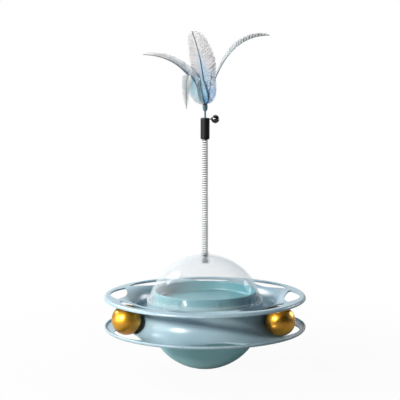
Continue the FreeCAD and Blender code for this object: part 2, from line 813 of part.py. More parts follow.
# Bell: two shells crimped together, with the hinge lug on the side towards the sleeve.
# Its own axis runs from the lug outward, so it is drawn upright and laid over.
POINTING_OUT = FreeCAD.Rotation(V(0, 1, 0), 90)
POINTING_IN = FreeCAD.Rotation(V(0, 1, 0), -90)
lug_half = d.bell_arm - 2 * d.close_gap
bell_centre = hinge_reach + lug_half + d.bell_radius
bell_inner = d.bell_radius - d.bell_wall


def make_bell_half(label, pointing):
    """Half of the hollow bell, drawn upright and laid over."""
    body = new_body(label)
    turned(body, "half", [
        (0, d.bell_radius, d.bell_radius, RIGHT),
        (d.bell_radius, 0),
        (bell_inner, 0, bell_inner, LEFT),
        (0, bell_inner),
    ])
    set_place(body, pointing, bell_centre, None, centre_height + hinge_height)
    return body


def make_bell_cap():
    """The half towards the sleeve, with its pierced lug."""
    body = make_bell_half("bell_cap", POINTING_IN)
    lug = new_sketch(body, "lug_outline", "XZ_Plane", height=0 - d.lug_thickness / 2)
    reach = d.bell_radius + lug_half
    draw_outline(lug, [
        (0 - lug_half, d.bell_radius - d.bell_wall),
        (lug_half, d.bell_radius - d.bell_wall),
        (lug_half, reach, lug_half, LEFT),
        (0, reach + lug_half),
        (0 - lug_half, reach + lug_half),
    ])
    padded(body, "lug", lug, d.lug_thickness)
    hole = new_sketch(body, "lug_hole_outline", "XZ_Plane", height=0 - d.lug_thickness)
    draw_circle(hole, 0, reach, d.eye_wire + d.close_gap)
    pocketed(body, "lug_hole", hole, 2 * d.lug_thickness)
    return body


def make_bell_cup():
    """The half away from the sleeve, with crossed sound slots."""
    body = make_bell_half("bell_cup", POINTING_OUT)
    slot = new_sketch(body, "slot_outline", "XY_Plane", height=d.bell_radius / 3)
    reach, half = d.bell_radius, d.bell_slot / 2
    draw_outline(slot, [
        (0, 0 - half),
        (reach, 0 - half),
        (reach, half),
        (0, half),
    ])
    cut = pocketed(body, "slot", slot, d.bell_radius)
    round_the_axis(body, "slots", cut, slot, d.bell_slot_count)
    return body


def make_bell_pea():
    """The loose pea, lying at the bottom of the bell."""
    pea = doc.addObject("Part::Sphere", "bell_pea")
    pea.Label = "bell_pea"
    drive(pea, "Radius", d.pea_radius)
    set_place(pea, UPRIGHT, bell_centre, None,
              centre_height + hinge_height - bell_inner + d.pea_radius + d.fit_gap)
    return pea


def make_bell_eye():
    """A bent wire pressed into the sleeve, whose cross bar the bell swings on."""
    legs = []
    for side in (-1, 1):
        wire = doc.addObject("Part::Cylinder", "eye_leg")
        drive(wire, "Radius", d.eye_wire)
        drive(wire, "Height", d.bell_arm + d.eye_bite)
        set_place(wire, POINTING_OUT, d.sleeve_radius - d.eye_bite, side * d.eye_width / 2,
                  centre_height + hinge_height)
        knuckle = doc.addObject("Part::Sphere", "eye_corner")
        drive(knuckle, "Radius", d.eye_wire)
        set_place(knuckle, UPRIGHT, hinge_reach, side * d.eye_width / 2,
                  centre_height + hinge_height)
        legs += [wire, knuckle]
    bar = doc.addObject("Part::Cylinder", "eye_bar")
    drive(bar, "Radius", d.eye_wire)
    drive(bar, "Height", d.eye_width)
    set_place(bar, FreeCAD.Rotation(V(1, 0, 0), 90), hinge_reach, d.eye_width / 2,
              centre_height + hinge_height)
    eye = doc.addObject("Part::MultiFuse", "bell_eye")
    eye.Label = "bell_eye"
    eye.Shapes = legs + [bar]
    return eye


nodes = [
    make_bottom_shell(),
    make_counterweight(),
    make_weight_retainer(),
    make_screws("retainer_screws", disc_screw_circle, d.retainer_screw_count,
                d.retainer_screw_turn, centre_height - weight_top + d.retainer_thickness,
                d.retainer_thickness + d.shell_wall, True),
    make_track_ring("lower_track", d.lower_window_count, d.lower_window_turn, False, TURNED_OVER),
    make_track_ring("upper_track", d.upper_window_count, d.upper_window_turn, True, UPRIGHT),
    make_screws("track_screws", screw_circle, d.screw_count, d.screw_turn,
                centre_height + tray_foot_top, tray_foot_top + d.ring_wall + d.screw_bite, True),
    make_treat_tray(),
    make_ball("track_ball_left", d.left_ball_angle),
    make_ball("track_ball_right", d.right_ball_angle),
    make_clear_dome(),
    make_wand_plug(),
    make_wand_spring(),
    make_wand_sleeve(),
    make_feather_stem(),
    make_quill_binding(),
]
nodes += [make_feather(label, *shape) for label, shape in FEATHERS.items()]
nodes += [make_bell_eye(), make_bell_cap(), make_bell_cup(), make_bell_pea()]

doc.recompute()

for thing in doc.Objects:
    if "Invalid" in thing.State or "Error" in thing.State:
        raise RuntimeError(f"{thing.Label} did not compute: {thing.State}")

for node in nodes:
    if node.Shape.isNull() or not node.Shape.isValid():
        raise RuntimeError(f"{node.Label} has no valid shape")

os.makedirs("parts", exist_ok=True)
for node in nodes:
    node.Shape.exportStep(f"parts/{node.Label}.step")
    print(node.Label, len(node.Shape.Solids), "solid,", round(node.Shape.Volume / 1000, 2), "cm3")
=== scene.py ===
import math

import bmesh
import bpy
from mathutils import Matrix, Vector


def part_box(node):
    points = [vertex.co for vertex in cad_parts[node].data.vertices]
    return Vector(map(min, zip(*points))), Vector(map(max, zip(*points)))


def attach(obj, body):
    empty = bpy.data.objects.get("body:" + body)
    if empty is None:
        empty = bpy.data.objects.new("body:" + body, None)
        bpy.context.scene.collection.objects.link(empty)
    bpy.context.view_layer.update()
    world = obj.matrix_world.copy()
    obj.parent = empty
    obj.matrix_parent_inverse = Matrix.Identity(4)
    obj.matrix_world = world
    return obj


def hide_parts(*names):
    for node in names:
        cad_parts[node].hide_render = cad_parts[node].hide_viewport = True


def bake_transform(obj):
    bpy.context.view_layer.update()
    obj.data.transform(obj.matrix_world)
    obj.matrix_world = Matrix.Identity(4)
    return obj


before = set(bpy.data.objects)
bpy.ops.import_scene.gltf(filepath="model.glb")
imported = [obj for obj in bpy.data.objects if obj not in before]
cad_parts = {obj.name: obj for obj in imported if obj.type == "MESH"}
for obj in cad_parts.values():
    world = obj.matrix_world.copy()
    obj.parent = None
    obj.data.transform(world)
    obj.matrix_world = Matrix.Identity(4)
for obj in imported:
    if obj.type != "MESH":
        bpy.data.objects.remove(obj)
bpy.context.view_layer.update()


# Bottom shell. The lower half of the sphere, one moulding in teal ABS with a silky gloss. The
# tool leaves faint cloudy flow in the colour, and the belly that the toy rocks on gets rubbed.

class Value:
    """A number on its way through a node tree; Python's operators add the Math nodes."""

    def __init__(self, maker, socket):
        self.maker, self.socket = maker, socket

    def __add__(self, other):
        return self.maker.maths("ADD", self, other)

    def __sub__(self, other):
        return self.maker.maths("SUBTRACT", self, other)

    def __rsub__(self, other):
        return self.maker.maths("SUBTRACT", other, self)

    def __mul__(self, other):
        return self.maker.maths("MULTIPLY", self, other)

    def __pow__(self, other):
        return self.maker.maths("POWER", self, other)

    def __rpow__(self, other):
        return self.maker.maths("POWER", other, self)

    __radd__, __rmul__ = __add__, __mul__


class NodeMaker:
    """A node tree in the making. All of its nodes come from add()."""

    def __init__(self, tree):
        self.tree = tree
        self.tree.nodes.clear()

    def add(self, kind, settings=None, inputs=None, output=0):
        """Makes a node, sets it up, then fills its sockets with values or links."""
        node = self.tree.nodes.new(kind)
        for key, setting in (settings or {}).items():
            if key == "stops":
                self.set_stops(node.color_ramp, setting)
            else:
                setattr(node, key, setting)
        for key, entry in (inputs or {}).items():
            for part in entry if isinstance(entry, list) else [entry]:
                if isinstance(part, Value):
                    self.tree.links.new(part.socket, node.inputs[key])
                else:
                    node.inputs[key].default_value = part
        return Value(self, node.outputs[output]) if node.outputs else node

    def set_stops(self, ramp, stops):
        """Gives a ramp its places and colours."""
        while len(ramp.elements) < len(stops):
            ramp.elements.new(0.5)
        for element, (place, colour) in zip(ramp.elements, stops):
            element.position = place
            element.color = colour

    def maths(self, operation, *values):
        """One Math node."""
        return self.add("ShaderNodeMath", {"operation": operation}, dict(enumerate(values)))

    def between(self, value, low, high):
        """0 below low, 1 above high, and a soft step between."""
        settings = {"interpolation_type": "SMOOTHSTEP"}
        return self.add("ShaderNodeMapRange", settings, {0: value, 1: low, 2: high})

    def mix(self, share, low, high):
        """A colour between two colours: sockets 6 and 7 and output 2 are the node's colour ones."""
        return self.add("ShaderNodeMix", {"data_type": "RGBA"}, {0: share, 6: low, 7: high}, 2)


def paint(red, green, blue):
    """A screen colour, 0 to 255, as the linear colour that a material takes."""
    def linear(level):
        level /= 255
        return level / 12.92 if level <= 0.04045 else ((level + 0.055) / 1.055) ** 2.4
    return (linear(red), linear(green), linear(blue), 1)


class Finish(NodeMaker):
    """A material whose patterns lie in the object's own metres."""

    def __init__(self, name):
        self.material = bpy.data.materials.new(name)
        self.material.use_nodes = True
        super().__init__(self.material.node_tree)
        self.place = self.add("ShaderNodeTexCoord", output="Object")

    def around(self, centre=(0, 0, 0), turn=(0, 0, 0), stretch=(1, 1, 1)):
        """Places measured from a centre, on turned and stretched axes."""
        return self.add("ShaderNodeMapping", {"vector_type": "TEXTURE"}, {
            "Vector": self.place, "Location": centre, "Rotation": turn, "Scale": stretch})

    def noise(self, scale, detail, place=None):
        """Soft clouds from 0 to 1, so many to the metre."""
        return self.add("ShaderNodeTexNoise", {}, {
            "Vector": place or self.place, "Scale": scale, "Detail": detail})

    def cells(self, scale, output="Distance"):
        """Rounded cells, so many to the metre."""
        return self.add("ShaderNodeTexVoronoi", {}, {"Vector": self.place, "Scale": scale}, output)

    def axes(self, place=None):
        """The three coordinates of a place, one by one."""
        split = self.add("ShaderNodeSeparateXYZ", {}, {"Vector": place or self.place})
        return [Value(self, socket) for socket in split.socket.node.outputs]

    def attribute(self, name):
        """A number that the mesh carries."""
        return self.add("ShaderNodeAttribute", {"attribute_name": name}, output="Fac")

    def ramp(self, share, stops):
        """A colour from a row of places and colours."""
        return self.add("ShaderNodeValToRGB", {"stops": stops}, {0: share})

    def surface(self, colour, roughness, relief=None, depth=0.0, **constants):
        """The finished shader. Relief is a height from 0 to 1 over a real depth in metres."""
        inputs = {"Base Color": colour, "Roughness": roughness}
        if relief is not None:
            inputs["Normal"] = self.add("ShaderNodeBump", {}, {"Height": relief, "Distance": depth})
        for name, value in constants.items():
            inputs[name.replace("_", " ")] = value
        shader = self.add("ShaderNodeBsdfPrincipled", {}, inputs)
        self.add("ShaderNodeOutputMaterial", {}, {"Surface": shader})
        return self.material


def moulded(name, tone, deep, clean_roughness, worn=None):
    """Injection-moulded plastic: cloudy colour, fine grain, smudges, hairlines, rubbed places."""
    finish = Finish(name)
    clouds = finish.between(finish.noise(14, 3), 0.35, 0.68)
    colour = finish.mix(clouds, deep, tone)
    smudges = finish.between(finish.noise(55, 4), 0.5, 0.72)
    hairlines = finish.between(finish.noise(420, 1, finish.around(stretch=(1, 6, 1))), 0.66, 0.74)
    roughness = clean_roughness + smudges * 0.07 + hairlines * 0.05
    if worn is not None:
        rubbed = worn(finish) * finish.between(finish.noise(700, 4), 0.4, 0.7)
        colour = finish.mix(rubbed * 0.16, colour, paint(226, 236, 240))
        roughness = roughness + rubbed * 0.16
    grain = finish.noise(1500, 2)
    return finish.surface(colour, roughness, grain, 0.000012)


def give_finish(node, material):
    """Gives a CAD piece its finish."""
    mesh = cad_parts[node].data
    mesh.materials.clear()
    mesh.materials.append(material)


RUBBED_HEIGHT, CLEAN_HEIGHT = 0.001, 0.014


def belly(finish):
    """The lowest part of the sphere, which rubs on the floor."""
    height = finish.axes()[2]
    return 1 - finish.between(height, RUBBED_HEIGHT, CLEAN_HEIGHT)


teal_shell = moulded("teal_shell", paint(134, 188, 194), paint(122, 177, 184), 0.28, belly)
give_finish("bottom_shell", teal_shell)


# Ballast. A cast iron puck under a plastic disc, screwed to three bosses in the shell so that the
# toy stands up again. It is closed in, so it is left as it comes from the foundry.

def cast_iron():
    """A sand-cast skin with patches of rust."""
    finish = Finish("ballast_iron")
    sand = finish.noise(900, 5)
    rust = finish.between(finish.noise(70, 4), 0.56, 0.7)
    colour = finish.mix(rust, paint(66, 66, 68), paint(92, 66, 52))
    return finish.surface(colour, 0.62 + rust * 0.2, sand, 0.00015, Metallic=0.8)


give_finish("counterweight", cast_iron())
inner_plastic = moulded("inner_plastic", paint(170, 186, 192), paint(158, 176, 184), 0.5)
give_finish("weight_retainer", inner_plastic)


# Screws. Zinc-plated pan heads with a cross recess: three hold the ballast disc, and four go down
# through the tray's foot and both track flanges into the shell's bosses.

class Build(NodeMaker):
    """A geometry tree with named inputs for its sizes."""

    def __init__(self, name):
        super().__init__(bpy.data.node_groups.new(name, "GeometryNodeTree"))
        for way in ("INPUT", "OUTPUT"):
            self.tree.interface.new_socket("Geometry", in_out=way, socket_type="NodeSocketGeometry")
        self.base = self.add("NodeGroupInput")

    def ask(self, name, kind="Float"):
        """A named input of the tree."""
        self.tree.interface.new_socket(name, in_out="INPUT", socket_type="NodeSocket" + kind)
        return Value(self, self.base.socket.node.outputs[name])

    def vector(self, x=0.0, y=0.0, z=0.0):
        """Three numbers as one vector."""
        return self.add("ShaderNodeCombineXYZ", {}, {0: x, 1: y, 2: z})

    def chance(self, low, high, seed):
        """A random number for each point: sockets 2, 3 and output 1 are the node's number ones."""
        return self.add("FunctionNodeRandomValue", {}, {2: low, 3: high, 8: seed}, 1)

    def named(self, name, data_type="FLOAT"):
        """An attribute that the geometry carries."""
        return self.add("GeometryNodeInputNamedAttribute", {"data_type": data_type}, {0: name})

    def keep(self, geometry, name, value):
        """The geometry with a number stored on its points."""
        return self.add("GeometryNodeStoreNamedAttribute", {"data_type": "FLOAT"},
                        {0: geometry, 2: name, 3: value})

    def dressed(self, geometry, finish):
        """Realized, smooth and with its material."""
        real = self.add("GeometryNodeRealizeInstances", {}, {0: geometry})
        smooth = self.add("GeometryNodeSetShadeSmooth", {}, {0: real})
        return self.add("GeometryNodeSetMaterial", {}, {0: smooth, 2: finish})

    def close(self, *geometries):
        """The whole tree, which gives out all the geometries together."""
        joined = self.add("GeometryNodeJoinGeometry", {}, {0: list(geometries)})
        self.add("NodeGroupOutput", {}, {0: joined})
        return self.tree


def put(data, name):
    """A new object in the scene, from a mesh, a lamp or a camera."""
    thing = bpy.data.objects.new(name, data)
    bpy.context.scene.collection.objects.link(thing)
    return thing


def grown(name, tree, seed_mesh, **sizes):
    """Runs a geometry tree on a mesh and keeps the result as a plain object."""
    source = put(seed_mesh, name + "_source")
    modifier = source.modifiers.new("build", "NODES")
    modifier.node_group = tree
    for item in tree.interface.items_tree:
        if item.in_out == "INPUT" and item.name in sizes:
            modifier[item.identifier] = sizes[item.name]
    graph = bpy.context.evaluated_depsgraph_get()
    result = bpy.data.meshes.new_from_object(source.evaluated_get(graph))
    result.name = name
    bpy.data.objects.remove(source)
    return put(result, name)


def zinc():
    """Bright zinc plating with a cloudy bloom."""
    finish = Finish("screw_steel")
    bloom = finish.noise(700, 3)
    colour = finish.mix(bloom, paint(170, 172, 176), paint(205, 206, 208))
    return finish.surface(colour, 0.26 + bloom * 0.2, finish.noise(2600, 2), 0.00001, Metallic=1.0)


def lathed(outline, sides, name):
    """A turned mesh from (radius, height) pairs, from the axis to the axis or round a loop."""
    made = bmesh.new()
    turns = [2 * math.pi * side / sides for side in range(sides)]
    rings = []
    for radius, height in outline:
        if radius == 0:
            rings.append([made.verts.new((0, 0, height))] * sides)
            continue
        spots = [(radius * math.cos(turn), radius * math.sin(turn), height) for turn in turns]
        rings.append([made.verts.new(spot) for spot in spots])
    for low, high in zip(rings, rings[1:]):
        for side in range(sides):
            after = (side + 1) % sides
            corners = dict.fromkeys((low[side], low[after], high[after], high[side]))
            if len(corners) > 2:
                made.faces.new(corners)
    bmesh.ops.remove_doubles(made, verts=made.verts, dist=1e-7)
    bmesh.ops.recalc_face_normals(made, faces=made.faces)
    mesh = bpy.data.meshes.new(name)
    made.to_mesh(mesh)
    made.free()
    for face in mesh.polygons:
        face.use_smooth = True
    return mesh


SHANK_RADIUS, HEAD_RADIUS, HEAD_HEIGHT = 0.00138, 0.0027, 0.0019
THREAD_PITCH, TIP_LENGTH = 0.0011, 0.0012
RECESS_ARM, RECESS_SLOT = 0.62, 0.17


def screw_mesh(threaded):
    """One screw, its bearing face at height 0: blunt tip, thread, domed head, cross recess."""
    outline = [(0, -threaded - TIP_LENGTH), (SHANK_RADIUS * 0.3, -threaded - TIP_LENGTH / 2)]
    for turn in range(int(threaded / THREAD_PITCH)):
        height = -threaded + turn * THREAD_PITCH
        outline += [(SHANK_RADIUS * 0.76, height), (SHANK_RADIUS, height + THREAD_PITCH * 0.45)]
    outline += [(SHANK_RADIUS * 0.8, -0.0004), (SHANK_RADIUS * 0.8, 0)]
    outline += [(HEAD_RADIUS, 0), (HEAD_RADIUS, HEAD_HEIGHT * 0.45)]
    for degrees in (20, 40, 60, 78):
        angle = math.radians(degrees)
        crown = HEAD_HEIGHT * (0.45 + 0.55 * math.sin(angle))
        outline.append((HEAD_RADIUS * math.cos(angle), crown))
    outline.append((0, HEAD_HEIGHT))
    recess = bmesh.new()
    for wide, deep in ((RECESS_ARM, RECESS_SLOT), (RECESS_SLOT, RECESS_ARM)):
        size = Matrix.Diagonal((HEAD_RADIUS * 2 * wide, HEAD_RADIUS * 2 * deep, HEAD_HEIGHT, 1))
        bmesh.ops.create_cube(recess, matrix=Matrix.Translation((0, 0, HEAD_HEIGHT)) @ size)
    recess_mesh = bpy.data.meshes.new("recess")
    recess.to_mesh(recess_mesh)
    recess.free()
    body = put(lathed(outline, 20, "screw"), "screw_body")
    cutter = put(recess_mesh, "screw_recess")
    cut = body.modifiers.new("recess", "BOOLEAN")
    cut.operation, cut.object, cut.use_self = "DIFFERENCE", cutter, True
    graph = bpy.context.evaluated_depsgraph_get()
    result = bpy.data.meshes.new_from_object(body.evaluated_get(graph))
    bpy.data.objects.remove(body)
    bpy.data.objects.remove(cutter)
    return result


def screw_circle_tree():
    """Copies of one screw, evenly spaced on a circle."""
    build = Build("screw_circle")
    count, radius = build.ask("Count", "Int"), build.ask("Radius")
    turn, height = build.ask("First turn"), build.ask("Seat height")
    finish = build.ask("Finish", "Material")
    ring = build.add("GeometryNodeMeshCircle", {}, {"Vertices": count, "Radius": radius})
    ring = build.add("GeometryNodeTransform", {}, {
        0: ring, "Translation": build.vector(z=height), "Rotation": build.vector(z=turn)})
    spin = build.chance(0.0, 3.0, 4)
    screws = build.add("GeometryNodeInstanceOnPoints", {}, {
        0: ring, "Instance": build.base, "Rotation": build.vector(z=spin)})
    return build.close(build.dressed(screws, finish))


screw_tree, screw_finish = screw_circle_tree(), zinc()
retainer_circle = -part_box("retainer_screws")[0].y - HEAD_RADIUS
track_circle = (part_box("track_screws")[1].x - HEAD_RADIUS) * 2 ** 0.5
for node, count, first_turn, circle, length in (
        ("retainer_screws", 3, -90, retainer_circle, 0.0042),
        ("track_screws", 4, 45, track_circle, 0.0165)):
    screws = grown(node + "_detailed", screw_tree, screw_mesh(length - TIP_LENGTH), **{
        "Count": count, "Radius": circle, "First turn": math.radians(first_turn),
        "Seat height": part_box(node)[1].z - HEAD_HEIGHT, "Finish": screw_finish})
    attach(screws, "base")
    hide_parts(node)


# Ball track. Two ring mouldings in pale steel blue meet at the waist of the groove; each curls
# over in a rolled lip and has lens windows that a paw can reach through, eight above, five below.

RIM_RADIUS, LIP_WIDTH = 0.125, 0.004


def rolled_lip(finish):
    """The outermost few millimetres of a ring, which knock against furniture."""
    x, y = finish.axes()[:2]
    reach = finish.maths("SQRT", x * x + y * y)
    return finish.between(reach, RIM_RADIUS - LIP_WIDTH, RIM_RADIUS)


track_blue = moulded("track_blue", paint(130, 155, 166), paint(119, 145, 158), 0.3, rolled_lip)
give_finish("lower_track", track_blue)
give_finish("upper_track", track_blue)


# Treat tray. A shallow drum in teal, screwed down through its foot, with ribs on the outside that
# keep the dome's skirt centred. Its teal is painted deeper than the shell's: partly its own tone,
# partly painted shade for the shade that falls on its front wall under the dome.

teal_tray = moulded("teal_tray", paint(92, 148, 156), paint(80, 136, 146), 0.36)
give_finish("treat_tray", teal_tray)


# Track balls. Two hollow halves welded and dipped in pearl gold lacquer: mica flakes under a clear
# coat, with the weld just showing as a fine line.

WELD_HALF_WIDTH, WELD_FADES_AT = 0.00005, 0.00035


def pearl_gold(name, node, tilt):
    """Cloudy gold with mica flakes and the line of the weld, under a clear coat."""
    finish = Finish(name)
    low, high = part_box(node)
    turned = finish.around(centre=(low + high) / 2, turn=tilt)
    flakes = finish.cells(2600, "Color")
    sparkle = finish.axes(flakes)[0]
    clouds = finish.between(finish.noise(60, 3), 0.3, 0.7)
    colour = finish.mix(clouds, paint(180, 120, 6), paint(210, 154, 18))
    colour = finish.mix(finish.between(sparkle, 0.7, 1.0) * 0.5, colour, paint(248, 214, 120))
    offset = finish.maths("ABSOLUTE", finish.axes(turned)[2])
    weld = 1 - finish.between(offset, WELD_HALF_WIDTH, WELD_FADES_AT)
    colour = finish.mix(weld * 0.6, colour, paint(120, 78, 16))
    relief = sparkle * 0.12 - weld
    return finish.surface(colour, 0.34 + sparkle * 0.12, relief, 0.00012, Metallic=0.92,
                          Coat_Weight=0.5, Coat_Roughness=0.3)


for side, tilt in (("left", (0.5, 0.9, 0)), ("right", (-0.7, 0.4, 0))):
    node = "track_ball_" + side
    give_finish(node, pearl_gold("ball_gold_" + side, node, tilt))


# Clear dome. The upper half of the sphere in polished clear polystyrene, with a flange that sits
# over the collar and a moulded socket on top for the wand.

FLANGE_SEAT, CLEAR_FROM = 0.0855, 0.092


def clear_plastic():
    """Clear where it is looked straight through, paler at its outline, its foot and smears."""
    finish = Finish("clear_plastic")
    grazing = finish.add("ShaderNodeLayerWeight", {}, {"Blend": 0.25}, "Facing")
    smear = finish.between(finish.noise(60, 4), 0.52, 0.75)
    height = finish.axes()[2]
    foot = 1 - finish.between(height, FLANGE_SEAT, CLEAR_FROM)
    body = finish.add("ShaderNodeBsdfPrincipled", {}, {
        "Base Color": finish.mix(foot, paint(222, 230, 234), paint(206, 226, 232)),
        "Roughness": 0.03 + smear * 0.05, "IOR": 1.57})
    through = finish.add("ShaderNodeBsdfTransparent", {}, {"Color": (0.965, 0.965, 0.97, 1)})
    reflected = 0.05 + grazing ** 2.4 * 0.85 + foot * 0.15 + smear * 0.015
    shader = finish.add("ShaderNodeMixShader", {}, {0: reflected, 1: through, 2: body})
    finish.add("ShaderNodeOutputMaterial", {}, {"Surface": shader})
    return finish.material


give_finish("clear_dome", clear_plastic())


# Wand spring. One length of bright spring wire, wound right-handed in 57 open turns, that stands
# on a dark plug in the socket. It is made in two lengths, one above the other.

def drawn_wire():
    """Bright drawn wire with duller patches of tarnish."""
    finish = Finish("spring_steel")
    drawn = finish.noise(900, 3)
    tarnish = finish.between(finish.noise(120, 3), 0.5, 0.75)
    colour = finish.mix(tarnish, paint(122, 124, 128), paint(84, 86, 88))
    return finish.surface(colour, 0.12 + drawn * 0.12, drawn, 0.000015, Metallic=1.0)


def coil_tree():
    """A round wire wound into a coil that climbs from its foot."""
    build = Build("coil")
    turns, radius, pitch = build.ask("Turns"), build.ask("Radius"), build.ask("Pitch")
    wire, foot = build.ask("Wire radius"), build.ask("Foot height")
    steps, finish = build.ask("Steps per turn", "Int"), build.ask("Finish", "Material")
    helix = build.add("GeometryNodeCurveSpiral", {}, {
        "Resolution": steps, "Rotations": turns, "Start Radius": radius, "End Radius": radius,
        "Height": turns * pitch, "Reverse": True})
    helix = build.add("GeometryNodeTransform", {}, {0: helix, "Translation": build.vector(z=foot)})
    section = build.add("GeometryNodeCurvePrimitiveCircle", {}, {"Resolution": 8, "Radius": wire})
    coil = build.add("GeometryNodeCurveToMesh", {}, {0: helix, 1: section, "Fill Caps": True})
    return build.close(build.dressed(coil, finish))


spring_low, spring_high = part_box("wand_spring")
WIRE_RADIUS, LOWER_TURNS, UPPER_TURNS = 0.00055, 28, 29
coil_radius = spring_high.x - WIRE_RADIUS
coil_foot = spring_low.z + WIRE_RADIUS
coil_pitch = (spring_high.z - spring_low.z - 2 * WIRE_RADIUS) / (LOWER_TURNS + UPPER_TURNS)
coil, wire_finish, turns_below = coil_tree(), drawn_wire(), 0
for name, turns, lower, upper, pivot in (
        ("spring_lower_length", LOWER_TURNS, "wand_foot", "wand_middle", "wand_sway_side"),
        ("spring_upper_length", UPPER_TURNS, "wand_middle", "wand_head", "wand_sway_fore")):
    length = grown(name, coil, bpy.data.meshes.new(name + "_seed"), **{
        "Turns": turns, "Radius": coil_radius, "Pitch": coil_pitch, "Wire radius": WIRE_RADIUS,
        "Foot height": coil_foot + turns_below * coil_pitch, "Steps per turn": 24,
        "Finish": wire_finish})
    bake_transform(length)
    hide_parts("wand_spring")
    turns_below += turns

plug_plastic = moulded("plug_plastic", paint(52, 54, 58), paint(44, 46, 50), 0.45)
give_finish("wand_plug", plug_plastic)


# Sleeve and stem. A black satin end sleeve is pressed over the spring; a dark stem stands in it,
# bound with waxed thread, and a cup gathers the quills.

def satin_black():
    """Black plastic with a satin bloom."""
    finish = Finish("sleeve_black")
    bloom = finish.noise(160, 3)
    colour = finish.mix(bloom, paint(5, 6, 6), paint(12, 13, 14))
    return finish.surface(colour, 0.4 + bloom * 0.14, finish.noise(2200, 2), 0.000015,
                          Specular_IOR_Level=0.25)


THREAD_TURN = 9000.0  # radians to the metre, a turn of thread every 0.7 mm


def thread_bound():
    """Waxed thread, wound turn beside turn, with painted shade in the grooves between the turns."""
    finish = Finish("stem_dark")
    height = finish.axes()[2]
    winding_relief_and_shade = finish.maths("SINE", height * THREAD_TURN) * 0.5 + 0.5
    # Painted shade: the thread is darker where its relief dips, in the grooves between the turns
    colour = finish.mix(winding_relief_and_shade, paint(56, 82, 96), paint(98, 130, 144))
    return finish.surface(colour, 0.6, winding_relief_and_shade, 0.00012)


give_finish("wand_sleeve", satin_black())
stem_finish = thread_bound()
give_finish("feather_stem", stem_finish)
give_finish("quill_binding", stem_finish)


# Bell. Two thin shells in dark polished plating, crimped together round a steel pea, swinging on
# a wire eye in the sleeve.

def dark_plating():
    """Dark plating with a faint haze, under a clear lacquer."""
    finish = Finish("bell_chrome")
    haze = finish.noise(420, 3)
    colour = finish.mix(haze, paint(26, 27, 30), paint(42, 43, 47))
    return finish.surface(colour, 0.12 + haze * 0.08, haze, 0.00001, Metallic=1.0, Coat_Weight=1.0,
                          Coat_Roughness=0.06)


plating = dark_plating()
for node in ("bell_eye", "bell_cap", "bell_cup"):
    give_finish(node, plating)
give_finish("bell_pea", screw_finish)

# The rolled bead of the crimp, round the joint of the two shells
bell_low, bell_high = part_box("bell_cup")
bell_radius = (bell_high.z - bell_low.z) / 2
BEAD_RADIUS, BEAD_STEPS = 0.00032, 12
bead_loop = []
for step in range(BEAD_STEPS + 1):
    angle = 2 * math.pi * step / BEAD_STEPS
    bead_radius = bell_radius + BEAD_RADIUS * math.cos(angle)
    bead_loop.append((bead_radius, 1.6 * BEAD_RADIUS * math.sin(angle)))
bead_mesh = lathed(bead_loop, 64, "bell_bead")
bead_mesh.transform(Matrix.Translation((bell_low.x, 0, (bell_low.z + bell_high.z) / 2))
                    @ Matrix.Rotation(math.pi / 2, 4, "Y"))
bead_mesh.materials.append(plating)
bead = put(bead_mesh, "bell_bead")
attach(bead, "bell")


# Feathers. Seven dyed plumes, whose quills stand together in the cup. Each is a bare quill and a
# tapering shaft with soft barbs on both sides, most of them longest below the middle.

BARS_ALONG = 230.0  # radians from root to tip, or about 37 bars


def plume_finish(name, colours, pattern):
    """Barbs: coloured from root to vane to tip, with a soft mottle and the plume's pattern."""
    finish = Finish(name)
    root, vane, end = colours
    along, out = finish.attribute("along"), finish.attribute("out")
    mottle = finish.between(finish.noise(260, 3), 0.4, 0.64)
    colour = finish.ramp(along, [(0.1, root), (0.45, vane), (1.0, end)])
    at_shaft = (1 - finish.between(out, 0.0, 0.45)) * (1 - finish.between(along, 0.4, 0.8))
    colour = finish.mix(at_shaft * 0.8, colour, root)
    if pattern == "pearled":
        pearls = 1 - finish.between(finish.cells(640), 0.36, 0.58)
        colour = finish.mix(pearls * 0.85, colour, paint(222, 228, 228))
    elif pattern == "pale on one side":
        # Painted light: the web on this side is painted much paler, to lift the shade that falls on
        # it
        colour = finish.mix((1 - finish.attribute("web")) * 0.75, colour, paint(205, 238, 255))
    elif pattern == "barred":
        bars = finish.between(finish.maths("SINE", along * BARS_ALONG), -0.1, 0.4)
        near_tip = finish.between(along, 0.62, 0.8)
        colour = finish.mix(bars * near_tip * 0.92, colour, paint(20, 24, 28))
    colour = finish.mix(mottle * 0.12, colour, paint(230, 234, 238))
    return finish.surface(colour, 0.62 + mottle * 0.2, Sheen_Weight=0.12, Sheen_Roughness=0.4,
                          Subsurface_Weight=0.5, Subsurface_Radius=(0.002, 0.002, 0.002))


def shaft_finish(name, tone):
    """A horny shaft, dark at the quill and grey at the tip."""
    finish = Finish(name)
    along = finish.attribute("along")
    colour = finish.mix(along, tone, paint(70, 80, 90))
    roughness = 0.4 + finish.noise(800, 2) * 0.2
    return finish.surface(colour, roughness, finish.noise(1500, 2), 0.00002)


SHORTEST_BARB = 0.0004


